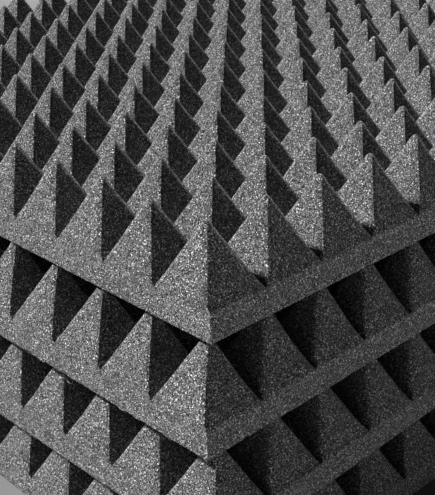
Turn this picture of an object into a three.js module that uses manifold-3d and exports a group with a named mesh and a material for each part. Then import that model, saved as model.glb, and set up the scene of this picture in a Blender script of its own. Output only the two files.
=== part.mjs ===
// A stack of square acoustic foam panels. Each panel is one piece of open-cell foam:
// a flat back, a solid base and a field of blunt four-sided pyramids cut into its face.
// The panels lie tips up, and the back of each rests on the tips of the one below.
// Millimetres, +Z up, origin under the middle of the stack.
import * as THREE from 'three';
import { mergeVertices } from 'three/addons/utils/BufferGeometryUtils.js';
import Module from 'manifold-3d';

// One panel
const panelSide = 500;
const pyramidsPerSide = 14;
const baseThickness = 15; // solid foam below the valleys
const pyramidHeight = 32.4; // from the valleys up to the blunt tips
const tipFlat = 2.5; // width of a blunt tip
const valleyFlat = 0.8; // width of a valley's floor
const valleyShiftX = 2.5; // the first valley across X lies this far outside the sheet
const valleyShiftY = 0.5; // and the first across Y this far

// The stack
const seatGap = 0.3; // between the tips and the back that rests on them
const slipShares = [
  { name: 'panel_bottom', along: [-0.5, -0.38], turn: 0 },
  { name: 'panel_third', along: [-0.43, -0.48], turn: 1.5 },
  { name: 'panel_second', along: [-0.35, -0.26], turn: 0.8 },
  { name: 'panel_top', along: [0, 0], turn: 0 },
]; // from the floor up: slip of the front corner in shares of the pitch, turn in degrees

// Making
const overrun = 5; // how far one cut starts below the back

const pitch = panelSide / pyramidsPerSide;
const panelThickness = baseThickness + pyramidHeight;
const flankRun = (pitch - tipFlat - valleyFlat) / 2; // a flank's width in plan

// Side view of a row of whole teeth, which runs one tooth past the sheet at each end
function toothProfile(shift, depthBelow) {
  const start = -pitch - shift;
  const teeth = pyramidsPerSide + 2;
  const end = start + teeth * pitch;
  const shape = new THREE.Shape();
  shape.moveTo(start, -depthBelow);
  for (let tooth = 0; tooth < teeth; tooth++) {
    const foot = start + tooth * pitch + valleyFlat / 2;
    shape.lineTo(foot, baseThickness);
    shape.lineTo(foot + flankRun, panelThickness);
    shape.lineTo(foot + flankRun + tipFlat, panelThickness);
    shape.lineTo(foot + pitch - valleyFlat, baseThickness);
  }
  shape.lineTo(end, baseThickness);
  shape.lineTo(end, -depthBelow);
  return shape;
}

// A row of teeth along X, as long along Y as the sheet is
function toothedSheet(shift, depthBelow) {
  const profile = toothProfile(shift, depthBelow);
  const sheet = new THREE.ExtrudeGeometry(profile, { depth: panelSide, bevelEnabled: false });
  sheet.rotateX(Math.PI / 2);
  sheet.translate(0, panelSide, 0);
  return sheet;
}

function toSolid(wasm, geometry) {
  const bare = geometry.clone();
  bare.deleteAttribute('normal');
  bare.deleteAttribute('uv');
  const merged = mergeVertices(bare);
  return new wasm.Manifold(
    new wasm.Mesh({
      numProp: 3,
      vertProperties: new Float32Array(merged.attributes.position.array),
      triVerts: new Uint32Array(merged.index.array),
    }),
  );
}

function toGeometry(solid) {
  const mesh = solid.getMesh();
  const geometry = new THREE.BufferGeometry();
  geometry.setAttribute('position', new THREE.BufferAttribute(mesh.vertProperties, 3));
  geometry.setIndex(new THREE.BufferAttribute(mesh.triVerts, 1));
  geometry.computeVertexNormals();
  return geometry;
}

// What teeth along X and teeth along Y have in common is the sheet with its pyramids
function makePanelGeometry(wasm) {
  const teethAlongX = toothedSheet(valleyShiftX, 0);
  const teethAlongY = toothedSheet(valleyShiftY, overrun);
  teethAlongY.rotateZ(Math.PI / 2);
  teethAlongY.translate(panelSide, 0, 0);
  return toGeometry(toSolid(wasm, teethAlongX).intersect(toSolid(wasm, teethAlongY)));
}

function foamMaterial() {
  return new THREE.MeshStandardMaterial({ color: 0x6b6b6c, roughness: 0.95, metalness: 0 });
}

const wasm = await Module();
wasm.setup();
const panelGeometry = makePanelGeometry(wasm);

const stack = new THREE.Group();
slipShares.forEach((slip, level) => {
  const panel = new THREE.Mesh(panelGeometry.clone(), foamMaterial());
  panel.name = slip.name;
  panel.position.set(slip.along[0] * pitch, slip.along[1] * pitch, level * (panelThickness + seatGap));
  panel.rotation.z = THREE.MathUtils.degToRad(slip.turn);
  stack.add(panel);
});

// The origin goes under the middle of the stack, on the surface that it lies on
const reach = new THREE.Box3().setFromObject(stack, true);
const middle = reach.getCenter(new THREE.Vector3());
stack.position.set(-middle.x, -middle.y, -reach.min.z);

const foamPanelStack = new THREE.Group();
foamPanelStack.add(stack);

export default foamPanelStack;
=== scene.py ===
# A stack of four charcoal pyramid foam panels, tips up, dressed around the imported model.
import math
import random

import bmesh
import bpy
import numpy as np
from mathutils import Matrix, Vector, noise


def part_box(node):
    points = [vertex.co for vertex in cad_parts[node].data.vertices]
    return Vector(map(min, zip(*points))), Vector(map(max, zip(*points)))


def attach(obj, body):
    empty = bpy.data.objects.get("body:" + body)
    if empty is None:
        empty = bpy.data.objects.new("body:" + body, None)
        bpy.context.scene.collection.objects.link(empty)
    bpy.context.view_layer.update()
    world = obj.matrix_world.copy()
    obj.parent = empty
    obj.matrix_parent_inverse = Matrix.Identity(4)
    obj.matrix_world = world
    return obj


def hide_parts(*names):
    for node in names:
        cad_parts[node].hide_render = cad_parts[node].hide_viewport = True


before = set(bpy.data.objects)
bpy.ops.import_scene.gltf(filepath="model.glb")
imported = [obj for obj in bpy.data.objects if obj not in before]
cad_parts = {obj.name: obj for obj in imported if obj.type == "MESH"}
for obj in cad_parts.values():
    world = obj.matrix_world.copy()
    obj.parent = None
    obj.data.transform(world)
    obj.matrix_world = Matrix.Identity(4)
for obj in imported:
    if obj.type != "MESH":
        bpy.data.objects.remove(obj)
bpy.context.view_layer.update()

mm = 0.001


# Camera: over the corner of the stack that stands nearest
camera = {
    "fromTopCorner": (-254.4 * mm, -283.4 * mm, 223.1 * mm),  # from the top panel's lowest corner
    "heading": 47.476,  # degrees from +X towards +Y
    "lookDown": 25.073,
    "roll": -1.828,
    "lens": 76.83,
    "sensor": 36,
    "clip": (0.02, 50),  # the nearest and the farthest that it sees, in metres
}


def addCamera():
    data = bpy.data.cameras.new("camera")
    data.lens = camera["lens"]
    data.sensor_width = camera["sensor"]
    data.clip_start, data.clip_end = camera["clip"]
    seen = bpy.data.objects.new("camera", data)
    bpy.context.scene.collection.objects.link(seen)
    heading, down = math.radians(camera["heading"]), math.radians(camera["lookDown"])
    level = math.cos(down)
    forward = Vector((level * math.cos(heading), level * math.sin(heading), -math.sin(down)))
    roll = Matrix.Rotation(math.radians(camera["roll"]), 3, "Z")
    aim = forward.to_track_quat("-Z", "Y").to_matrix() @ roll
    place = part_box("panel_top")[0] + Vector(camera["fromTopCorner"])
    seen.matrix_world = Matrix.Translation(place) @ aim.to_4x4()
    bpy.context.scene.camera = seen


addCamera()
print("camera placed")


# Shader tools
class Value:  # a socket that Python's own signs can do maths on
    def __init__(self, shader, socket):
        self.shader = shader
        self.socket = socket

    def maths(self, operation, first, second=0.0):
        return self.shader.node("ShaderNodeMath", {"operation": operation}, {0: first, 1: second})

    def __add__(self, other):
        return self.maths("ADD", self, other)

    def __radd__(self, other):
        return self.maths("ADD", other, self)

    def __sub__(self, other):
        return self.maths("SUBTRACT", self, other)

    def __rsub__(self, other):
        return self.maths("SUBTRACT", other, self)

    def __mul__(self, other):
        return self.maths("MULTIPLY", self, other)

    def __rmul__(self, other):
        return self.maths("MULTIPLY", other, self)


class Shader:
    def __init__(self, owner):  # a new material or world
        self.owner = owner
        self.owner.use_nodes = True
        self.tree = self.owner.node_tree
        self.tree.nodes.clear()

    def node(self, kind, settings=None, sockets=None, output=0):
        made = self.tree.nodes.new(kind)
        for name, setting in (settings or {}).items():
            setattr(made, name, setting)
        for name, thing in (sockets or {}).items():
            if isinstance(thing, Value):
                self.tree.links.new(thing.socket, made.inputs[name])
            else:
                made.inputs[name].default_value = thing
        return Value(self, made.outputs[output])

    def seen(self):  # 1 where the camera, a gloss or a clear thing shows this
        flags = [self.node("ShaderNodeLightPath", output=name) for name in (
            "Is Camera Ray", "Is Glossy Ray", "Is Transmission Ray")]
        return flags[0] + flags[1] + flags[2]

    def close(self, surface, output="ShaderNodeOutputMaterial"):
        out = self.tree.nodes.new(output)
        self.tree.links.new(surface.socket, out.inputs["Surface"])
        return self.owner


panelSide = 500 * mm
pyramidsPerSide = 14
pitch = panelSide / pyramidsPerSide

# The panels' "lattice" attribute counts pyramids: each is one unit wide, with its tip in the middle of
# its unit square and at height 1. The sawn sides and the back have this height in it instead.
sawnHeight = -1

# The foam: open cells cut through, most of them dark, and their pale walls catching the light
foamFinish = {
    "tint": (1.0, 1.0, 1.015),
    "cellSize": 0.3 * mm,
    "poreTone": 0.012,  # of the open pores
    "wallTone": 0.37,  # of the cell walls round them
    "wallShare": 0.5,
    "flakeSize": 0.42 * mm,  # here and there a cell is painted near white, a painted glint, and is glossier and leans its own way
    "flakeGlintTone": 1.0,
    "flakeShare": 0.08,
    "flakeDigits": 97,  # the first of a flake's numbers has picked it, so its later digits set its lean
    "tilt": 3.0,  # how steeply a flake leans, each its own way
    "sidePaintedLight": 0.2,  # the sawn sides and the back are painted this much paler than the pyramids, painted light
    "sideFade": 0.1,  # up to this share of the pyramid's height
    "creaseWidth": 1.6 * mm,  # and the feet of the valleys that run along the left edge are painted darker, painted shade
    "creasePaintedShade": 0.9,
    "mottle": 0.35,
    "mottleSize": 9 * mm,
    "mottleDetail": 3.0,
    "mottleRoughness": 0.55,
    "pitSize": 7 * mm,  # here and there a larger hole: this far apart
    "pitShares": (0.03, 0.06),  # where its floor ends and where its rim is, in shares of that
    "pitTone": 0.15,
    "pitDepth": 0.5 * mm,
    "ridgeReach": 2.3 * mm,  # the ridges are rounded off in the bump this far on both sides of a ridge
    "ridgeHeights": (0.03, 0.12),  # from this share of the pyramid's height on
    "ridgeDrop": 1.0 * mm,
    "ridgePaintedHighlight": 0.25,  # and are painted this much paler there, a painted highlight
    "roughness": 0.95,
    "flakeRoughness": 0.4,
    "shine": 0.3,
}


def foamMaterial():
    f = foamFinish
    s = Shader(bpy.data.materials.new("charcoalFoam"))
    place = s.node("ShaderNodeTexCoord", output="Object")

    def cells(size, output):
        return s.node("ShaderNodeTexVoronoi", {"feature": "F1"}, {
            "Vector": place, "Scale": 1 / size}, output)

    def step(value, low, high, first=0.0, last=1.0):
        return s.node("ShaderNodeMapRange", {"interpolation_type": "SMOOTHSTEP"}, {
            "Value": value, "From Min": low, "From Max": high, "To Min": first, "To Max": last})

    def vectors(operation, first, second=(0, 0, 0), output=0):
        return s.node("ShaderNodeVectorMath", {"operation": operation}, {0: first, 1: second}, output)

    def part(vector, axis):
        return s.node("ShaderNodeSeparateXYZ", {}, {"Vector": vector}, axis)

    # How near a ridge or a valley is
    lattice = s.node("ShaderNodeAttribute", {"attribute_name": "lattice"}, output="Vector")
    fromMiddle = vectors("ABSOLUTE", vectors("SUBTRACT", vectors("FRACTION", lattice), (0.5, 0.5, 0)))
    across = part(fromMiddle, "X") - part(fromMiddle, "Y")
    reach = f["ridgeReach"] / (pitch / math.sqrt(2))
    ridge = step(across, -reach, 0.0) * step(across, 0.0, reach, 1.0, 0.0)
    ridge = ridge * step(part(lattice, "Z"), *f["ridgeHeights"])
    # The sawn sides and the back, which are painted paler as painted light
    sawn = step(part(lattice, "Z"), sawnHeight, f["sideFade"], 1.0, 0.0)
    crease = step(part(fromMiddle, "X"), 0.5 - f["creaseWidth"] / pitch, 0.5) * (1.0 - sawn)

    # Walls, flakes, patches and pits
    wall = step(part(cells(f["cellSize"], "Color"), "X"), 1 - f["wallShare"], 1.0)
    flakeDraw = cells(f["flakeSize"], "Color")  # three numbers of its own for each cell
    glintFlake = step(part(flakeDraw, "X"), 1 - f["flakeShare"], 1 - f["flakeShare"] / 2)
    mottle = s.node("ShaderNodeTexNoise", {"noise_dimensions": "3D"}, {
        "Vector": place, "Scale": 1 / f["mottleSize"],
        "Detail": f["mottleDetail"], "Roughness": f["mottleRoughness"]}, "Fac")
    pit = step(cells(f["pitSize"], "Distance"), *f["pitShares"])

    tone = f["poreTone"] + (f["wallTone"] - f["poreTone"]) * wall
    # Painted glint: the flakes are painted white
    tone = tone + (f["flakeGlintTone"] - tone) * glintFlake
    tone = tone * (1.0 + f["mottle"] * (mottle - 0.5)) * (f["pitTone"] + (1 - f["pitTone"]) * pit)
    # Painted highlight along the ridges, painted light on the sawn sides and the back
    tone = tone * (1.0 + f["ridgePaintedHighlight"] * ridge) * (1.0 + f["sidePaintedLight"] * sawn)
    # Painted shade at the feet of the valleys
    tone = tone * (1.0 - f["creasePaintedShade"] * crease)
    colour = s.node("ShaderNodeVectorMath", {"operation": "SCALE"}, {0: f["tint"], "Scale": tone})

    # Each flake is a small plane that leans its own way
    drawn = vectors("FRACTION", vectors("MULTIPLY", flakeDraw, (f["flakeDigits"], 1, 1)))
    leaning = vectors("SUBTRACT", drawn, (0.5, 0.5, 0.5))
    inFlake = vectors("SUBTRACT", place, cells(f["flakeSize"], "Position"))
    height = f["tilt"] * glintFlake * vectors("DOT_PRODUCT", inFlake, leaning, "Value")
    height = height + f["pitDepth"] * pit - f["ridgeDrop"] * ridge  # in metres
    bump = s.node("ShaderNodeBump", {}, {"Strength": 1.0, "Distance": 1.0, "Height": height})
    roughness = f["roughness"] - (f["roughness"] - f["flakeRoughness"]) * glintFlake
    surface = s.node("ShaderNodeBsdfPrincipled", {}, {
        "Base Color": colour, "Roughness": roughness, "Specular IOR Level": f["shine"], "Normal": bump})
    return s.close(surface)


foam = foamMaterial()
print("foam material made")


# One panel, in its own frame: u along the edge that runs right, v along the left one, z up from its back
panelForm = {
    "backWithin": 0.1 * mm,  # points of the solid this near its lowest one are on its back
    "cutWithin": 0.0001 * mm,  # points this near a side's plane count as on it when it is cut
    "base": 15 * mm,
    "tipFlat": 2.5 * mm,
    "valleyFlat": 0.8 * mm,
    "valleyShift": (2.5 * mm, 0.5 * mm),  # how far outside the sheet the first valleys lie
    "ridgeRadii": (1.1 * mm, 2.6 * mm, 1.1 * mm, 2.6 * mm),  # the cut is softer along one diagonal
    "ridgeFade": 2.5,  # a ridge is as soft as that from this many radii above the valley on
    "ridgeLimit": 0.8,  # and never softer than this share of the pyramid's half width there
    "ridgeArc": (22.5, 45, 67.5),  # degrees round a ridge at which it has a point
    "ringShares": (1, 0.975, 0.95, 0.915, 0.85, 0.76, 0.66, 0.56, 0.46,
                   0.36, 0.27, 0.19, 0.13, 0.08, 0.04),  # widths of the rings, from the valleys up
    "sideSteps": 2,  # faces along a side of each ring
    "tipSoftness": 3.0 * mm,
    "valleySoftness": 1.4 * mm,
    "tipWander": 0.35 * mm,  # how far a tip strays from its place
    "upWanderShare": 0.6,  # and how much of that upwards
    "leanCurve": 1.6,  # above 1 a pyramid bends more near its tip
    "waviness": 0.22 * mm,
    "wavinessSize": 11 * mm,
    "roughCut": 0.10 * mm,
    "roughCutSize": 2.4 * mm,
    "stillBelow": 0.5 * mm,  # below this height the back stays flat
    "weld": 0.02 * mm,
    "sharpFrom": 58,  # degrees between two faces
}

# Its sawn sides
sideForm = {
    "edgeStep": 1.1 * mm,
    "rowShares": (0.9, 0.62, 0.34, 0.12, 0.03),  # heights of the rows of points, in shares of the base
    "edgeRound": 0.5 * mm,
    "atEdge": 0.01 * mm,  # a point this near a side is on it
    "leftReach": 1 * mm,  # and one this near the left side can be bitten
    "raggedShares": (0.15, 0.05),  # rows below the first are partly ragged, below the second fully
    "partlyRagged": 0.4,
    "raggedSize": 2.1 * mm,
    "fineSize": 1.3 * mm,
    "fineShare": 0.9,
    "patchSize": 30 * mm,  # some lengths of the edge are smoother
    "patchBias": 0.5,
}

# How each panel has settled: lean is how far its tips are pushed over, nicks how ragged its lower edges are
settled = {
    "panel_bottom": {"body": "bottom", "lean": (2.4 * mm, 1.4 * mm), "nicks": 0.35 * mm, "seed": 11},
    "panel_third": {"body": "third", "lean": (0.3 * mm, 0.2 * mm), "nicks": 0.4 * mm, "seed": 23},
    "panel_second": {"body": "second", "lean": (3.5 * mm, 0.2 * mm), "nicks": 1.7 * mm, "seed": 37},
    "panel_top": {"body": "top", "lean": (0, 0), "nicks": 0.25 * mm, "seed": 5},
}

# Bites out of the left lower edge, in mm: place along it, half the width, depth. Below zero it hangs.
bites = {
    "panel_second": ((25, 2.0, -0.8), (47, 2.2, -0.8), (58, 2.6, -0.9), (75, 2.4, -0.4),
                     (99.5, 1.7, 1.0), (120, 2.6, -1.0), (131, 3.0, 0.8)),
    "panel_third": ((40, 2.0, 0.6),),
}

# Strips torn half off the same edge
shreds = {
    "panel_second": {"from": 93.5 * mm, "to": 103 * mm, "hangs": 2.9 * mm, "radius": 0.23 * mm},
}
shredForm = {
    "steps": 18,
    "sides": 6,
    "ends": (0.6 * mm, 1.4 * mm),  # how deep in the side and how high above the back both ends are
    "bulge": 0.9 * mm,  # how far it stands out from there
    "bulgeCurve": 0.4,
    "hangCurve": 0.6,  # below 1 it hangs lowest nearer the corner
    "thinShare": 0.35,  # its thickness swells from this share and back as a half wave does
    "thinStart": 0.15,  # between these two places in the wave
    "thinEnd": 0.95,
}


def panelFrame(node):  # corner, the two edge directions, side and thickness, from the node's flat back
    low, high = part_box(node)
    within = low.z + panelForm["backWithin"]
    back = [v.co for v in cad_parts[node].data.vertices if v.co.z < within]
    corner = min(back, key=lambda p: p.x + p.y)
    right = max(back, key=lambda p: p.x - p.y)
    along = (right - corner).normalized()
    return corner, along, Vector((-along.y, along.x, 0)), (right - corner).length, high.z - low.z


def softMin(a, b, k):
    h = np.maximum(k - np.abs(a - b), 0) / k
    return np.minimum(a, b) - h * h * k / 4


def softMax(a, b, k):
    return -softMin(-a, -b, k)


def pyramidRings(half, rise):  # one pyramid about its middle, in rings of points from its valleys up
    p = panelForm
    foot, tip = half - p["valleyFlat"] / 2, p["tipFlat"] / 2
    n = p["sideSteps"]
    points, rows = [], []
    for share in p["ringShares"]:
        w = share * half
        up = rise / (foot - tip) * (foot - w)
        z = softMin(softMax(up, 0.0, p["valleySoftness"]), rise, p["tipSoftness"])
        radii = [min(r * min(1, z / (p["ridgeFade"] * r)), p["ridgeLimit"] * w) for r in p["ridgeRadii"]]
        arc = [math.radians(a) for a in p["ridgeArc"]]
        ring = []
        for quarter in range(4):
            turn = Matrix.Rotation(quarter * math.pi / 2, 2)
            start, end, r = radii[quarter - 1] - w, w - radii[quarter], radii[quarter]
            side = [(w, start + (end - start) * k / n) for k in range(n + 1)]
            side += [(end + r * math.cos(a), end + r * math.sin(a)) for a in arc]
            ring += [(*(turn @ Vector(q)), float(z)) for q in side]
        rows.append(range(len(points), len(points) + len(ring)))
        points += ring
    points.append((0.0, 0.0, rise))
    faces = []
    for lower, upper in zip(rows, rows[1:]):
        for k in range(len(lower)):
            j = (k + 1) % len(lower)
            faces.append((lower[k], lower[j], upper[j], upper[k]))
    last = rows[-1]
    faces += [(last[k], last[(k + 1) % len(last)], len(points) - 1) for k in range(len(last))]
    return np.array(points), faces


def pyramidField(rise, lean, draw):  # one panel's pyramids, past its edges, before it is cut to size
    p = panelForm
    unit, faces = pyramidRings(pitch / 2, rise)
    reach = (unit[:, 2] / rise) ** p["leanCurve"]
    shift = p["valleyShift"]
    allPoints, lattice, allFaces = [], [], []
    for i in range(pyramidsPerSide + 1):
        for j in range(pyramidsPerSide + 1):
            middle = np.array([(i + 0.5) * pitch - shift[0], (j + 0.5) * pitch - shift[1], 0])
            stray = np.array([draw.gauss(0, 1), draw.gauss(0, 1), p["upWanderShare"] * draw.gauss(0, 1)])
            push = stray * p["tipWander"] + np.array([lean[0], lean[1], 0])
            start = len(allPoints) * len(unit)
            allPoints.append(unit + middle + reach[:, None] * push)
            lattice.append(unit / (pitch, pitch, rise) + (i + 0.5, j + 0.5, 0))
            allFaces += [[k + start for k in f] for f in faces]
    return np.concatenate(allPoints), np.concatenate(lattice), allFaces


def cutToSize(mesh, side):
    for place, outward in (((0, 0, 0), (-1, 0, 0)), ((0, 0, 0), (0, -1, 0)),
                           ((side, 0, 0), (1, 0, 0)), ((0, side, 0), (0, 1, 0))):
        everything = mesh.verts[:] + mesh.edges[:] + mesh.faces[:]
        bmesh.ops.bisect_plane(
            mesh, geom=everything, dist=panelForm["cutWithin"],
            plane_co=place, plane_no=outward, clear_outer=True)


def fineRim(mesh, step):  # short edges round the rim, so that the cut edge can be uneven
    byCuts = {}
    for edge in mesh.edges:
        if edge.is_boundary and edge.calc_length() > step:
            byCuts.setdefault(int(edge.calc_length() / step), []).append(edge)
    for cuts, edges in byCuts.items():
        bmesh.ops.subdivide_edges(mesh, edges=edges, cuts=cuts)


def edgeRise(point, node, how):  # how far above the flat back the lower edge is at a point of it
    f = sideForm

    def uneven(size):
        return noise.noise(Vector((point.x, point.y, how["seed"] * mm)) / size)

    ragged = uneven(f["raggedSize"]) + f["fineShare"] * uneven(f["fineSize"])
    patch = uneven(f["patchSize"]) + f["patchBias"]
    rise = how["nicks"] * max(0, ragged) * max(0, patch)
    if point.x < f["leftReach"]:
        for place, width, depth in bites.get(node, ()):
            rise += depth * mm * math.exp(-((point.y / mm - place) / width) ** 2)
    return rise


def addSides(mesh, side, node, how):
    f = sideForm
    base = panelForm["base"]
    partly, fully = f["raggedShares"]
    lattice = mesh.verts.layers.float_vector["lattice"]
    rim = [e for e in mesh.edges if e.is_boundary]
    for share in f["rowShares"] + (0,):
        made = bmesh.ops.extrude_edge_only(mesh, edges=rim)["geom"]
        rim = [g for g in made if isinstance(g, bmesh.types.BMEdge)]
        for v in {v for e in rim for v in e.verts}:
            v.co.z = share * base
            v[lattice].z = sawnHeight
            for axis in (0, 1):
                toMiddle = side / 2 - v.co[axis]
                atEdge = abs(abs(toMiddle) - side / 2) < f["atEdge"]
                if atEdge and share == 0:
                    v.co[axis] += math.copysign(f["edgeRound"], toMiddle)
            if share < partly:
                v.co.z += edgeRise(v.co, node, how) * (1 if share < fully else f["partlyRagged"])
    bmesh.ops.contextual_create(mesh, geom=rim)


def addShred(mesh, shred):  # a thin curved strip below the left lower edge
    f = shredForm
    deep, high = f["ends"]
    rings = []
    for k in range(f["steps"] + 1):
        t = k / f["steps"]
        middle = Vector((
            deep - f["bulge"] * math.sin(math.pi * t) ** f["bulgeCurve"],
            shred["from"] + (shred["to"] - shred["from"]) * t,
            high - (high + shred["hangs"]) * math.sin(math.pi * t ** f["hangCurve"])))
        fullness = math.sin(math.pi * (f["thinStart"] + (f["thinEnd"] - f["thinStart"]) * t))
        thick = shred["radius"] * (f["thinShare"] + (1 - f["thinShare"]) * fullness)
        turns = [2 * math.pi * j / f["sides"] for j in range(f["sides"])]
        rings.append([
            mesh.verts.new(middle + Vector((math.cos(a), 0, math.sin(a))) * thick) for a in turns])
    for first, second in zip(rings, rings[1:]):
        for j in range(f["sides"]):
            i = (j + 1) % f["sides"]
            mesh.faces.new((first[j], first[i], second[i], second[j]))
    mesh.faces.new(rings[0])
    mesh.faces.new(rings[-1])
    lattice = mesh.verts.layers.float_vector["lattice"]
    for v in (v for ring in rings for v in ring):
        v[lattice] = (0.5, 0.5, sawnHeight)


def roughen(mesh, seed):
    p = panelForm
    shift = Vector((seed, 2 * seed, 3 * seed))  # so that each panel has waves of its own
    mesh.normal_update()
    moves = []
    for v in mesh.verts:
        wave = noise.noise(v.co / p["wavinessSize"] + shift) * p["waviness"]
        cut = noise.noise(v.co / p["roughCutSize"] + shift) * p["roughCut"]
        share = 1 if v.co.z > p["stillBelow"] else 0
        moves.append(v.normal * (wave + cut) * share)
    for v, move in zip(mesh.verts, moves):
        v.co += move


# The map for baking: left, lower edge, width and height of each part of it
mapForm = {
    "pyramids": (0.01, 0.01, 0.98, 0.81),  # from above
    "back": (0.88, 0.85, 0.11, 0.13),
    "side": (0.01, 0.845, 0.85, 0.028),  # a strip for each side
    "nextSide": 0.036,  # from one strip to the next
    "sideHeights": (-2 * mm, 22 * mm),  # which heights on a side a strip spans
    "facesUp": 0.25,  # a face whose normal rises more than this is a pyramid's
    "facesDown": -0.6,  # and one whose normal falls more than this is the back's
}


def layOut(mesh, side):
    m = mapForm
    layer = mesh.loops.layers.uv.new("OFBake")
    low, high = m["sideHeights"]

    def spot(part, across, up):
        left, lower, width, height = m[part]
        return Vector((left + width * across, lower + height * up))

    for face in mesh.faces:
        n = face.normal
        for loop in face.loops:
            x, y, z = loop.vert.co
            if n.z > m["facesUp"]:
                loop[layer].uv = spot("pyramids", x / side, y / side)
            elif n.z < m["facesDown"]:
                loop[layer].uv = spot("back", x / side, y / side)
            else:
                along, strip = (x, 2 if n.y < 0 else 3)
                if abs(n.x) > abs(n.y):
                    along, strip = (y, 0 if n.x < 0 else 1)
                place = spot("side", along / side, (z - low) / (high - low))
                loop[layer].uv = place + Vector((0, strip * m["nextSide"]))


def addPanel(node):
    how = settled[node]
    corner, along, across, side, thickness = panelFrame(node)
    draw = random.Random(how["seed"])
    rise = thickness - panelForm["base"]
    points, lattice, faces = pyramidField(rise, how["lean"], draw)
    data = bpy.data.meshes.new(node + "_foam")
    points[:, 2] += panelForm["base"]
    data.from_pydata(points, [], faces)
    data.attributes.new("lattice", "FLOAT_VECTOR", "POINT").data.foreach_set("vector", lattice.ravel())
    mesh = bmesh.new()
    mesh.from_mesh(data)
    bmesh.ops.remove_doubles(mesh, verts=mesh.verts[:], dist=panelForm["weld"])
    cutToSize(mesh, side)
    fineRim(mesh, sideForm["edgeStep"])
    addSides(mesh, side, node, how)
    roughen(mesh, how["seed"])
    if node in shreds:
        addShred(mesh, shreds[node])
    bmesh.ops.recalc_face_normals(mesh, faces=mesh.faces[:])
    for face in mesh.faces:
        face.smooth = True
    layOut(mesh, side)
    mesh.transform(Matrix((
        (along.x, across.x, 0, corner.x),
        (along.y, across.y, 0, corner.y),
        (0, 0, 1, corner.z),
        (0, 0, 0, 1))))
    mesh.to_mesh(data)
    mesh.free()
    data.set_sharp_from_angle(angle=math.radians(panelForm["sharpFrom"]))
    data.materials.append(foam)
    piece = bpy.data.objects.new(node + "_foam", data)
    bpy.context.scene.collection.objects.link(piece)
    flat = piece.modifiers.new("flatFlanks", "WEIGHTED_NORMAL")
    flat.keep_sharp = True
    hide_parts(node)
    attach(piece, how["body"])
    print(node, "made,", len(data.polygons), "faces")


for node in settled:
    addPanel(node)


# Floor and light
studio = {
    "floor": (0.36, 0.36, 0.365, 1),
    "floorSeen": (0.22, 0.22, 0.222, 1),  # as the camera sees it
    "floorRoughness": 0.9,
    "floorShine": 0.2,
    "floorSize": 200,  # metres, so that it ends at the horizon
    "floorBelow": 0.2 * mm,
    "world": (1, 1, 1, 1),
    "worldStrength": 0.006,
    "backdrop": 0.35,  # the world's strength as the camera sees it, like the lit floor
}
lamps = {  # where the light comes from (degrees from +X towards +Y, degrees up), how soft it is, level
    "key": {"around": 139.5, "up": 47, "spread": 5, "level": 1.76},
    "back": {"around": 28, "up": 38, "spread": 15, "level": 0.58},
    "fill": {"around": 278, "up": 3, "spread": 10, "level": 0.08},
}


def addFloor():
    bpy.ops.mesh.primitive_plane_add(size=studio["floorSize"], location=(0, 0, -studio["floorBelow"]))
    floor = bpy.context.object
    floor.name = "floor"
    s = Shader(bpy.data.materials.new("paleFloor"))
    colour = s.node("ShaderNodeMix", {"data_type": "RGBA"}, {
        0: s.seen(), 6: studio["floor"], 7: studio["floorSeen"]}, 2)  # factor and the two colours
    surface = s.node("ShaderNodeBsdfPrincipled", {}, {
        "Base Color": colour, "Roughness": studio["floorRoughness"],
        "Specular IOR Level": studio["floorShine"]})
    floor.data.materials.append(s.close(surface))


def addLamp(name):
    lamp = lamps[name]
    data = bpy.data.lights.new(name, "SUN")
    data.angle = math.radians(lamp["spread"])
    data.energy = lamp["level"] * math.pi  # at level 1 a surface that faces it looks as written
    shining = bpy.data.objects.new(name, data)
    bpy.context.scene.collection.objects.link(shining)
    around, up = math.radians(lamp["around"]), math.radians(lamp["up"])
    way = Vector((math.cos(around) * math.cos(up), math.sin(around) * math.cos(up), math.sin(up)))
    shining.rotation_euler = (-way).to_track_quat("-Z", "Y").to_euler()


def addWorld():
    s = Shader(bpy.data.worlds.new("studio"))
    strength = studio["worldStrength"] + (studio["backdrop"] - studio["worldStrength"]) * s.seen()
    surface = s.node("ShaderNodeBackground", {}, {"Color": studio["world"], "Strength": strength})
    bpy.context.scene.world = s.close(surface, "ShaderNodeOutputWorld")


addFloor()
for name in lamps:
    addLamp(name)
addWorld()
bpy.context.scene.view_settings.view_transform = "Standard"
print("studio lit")
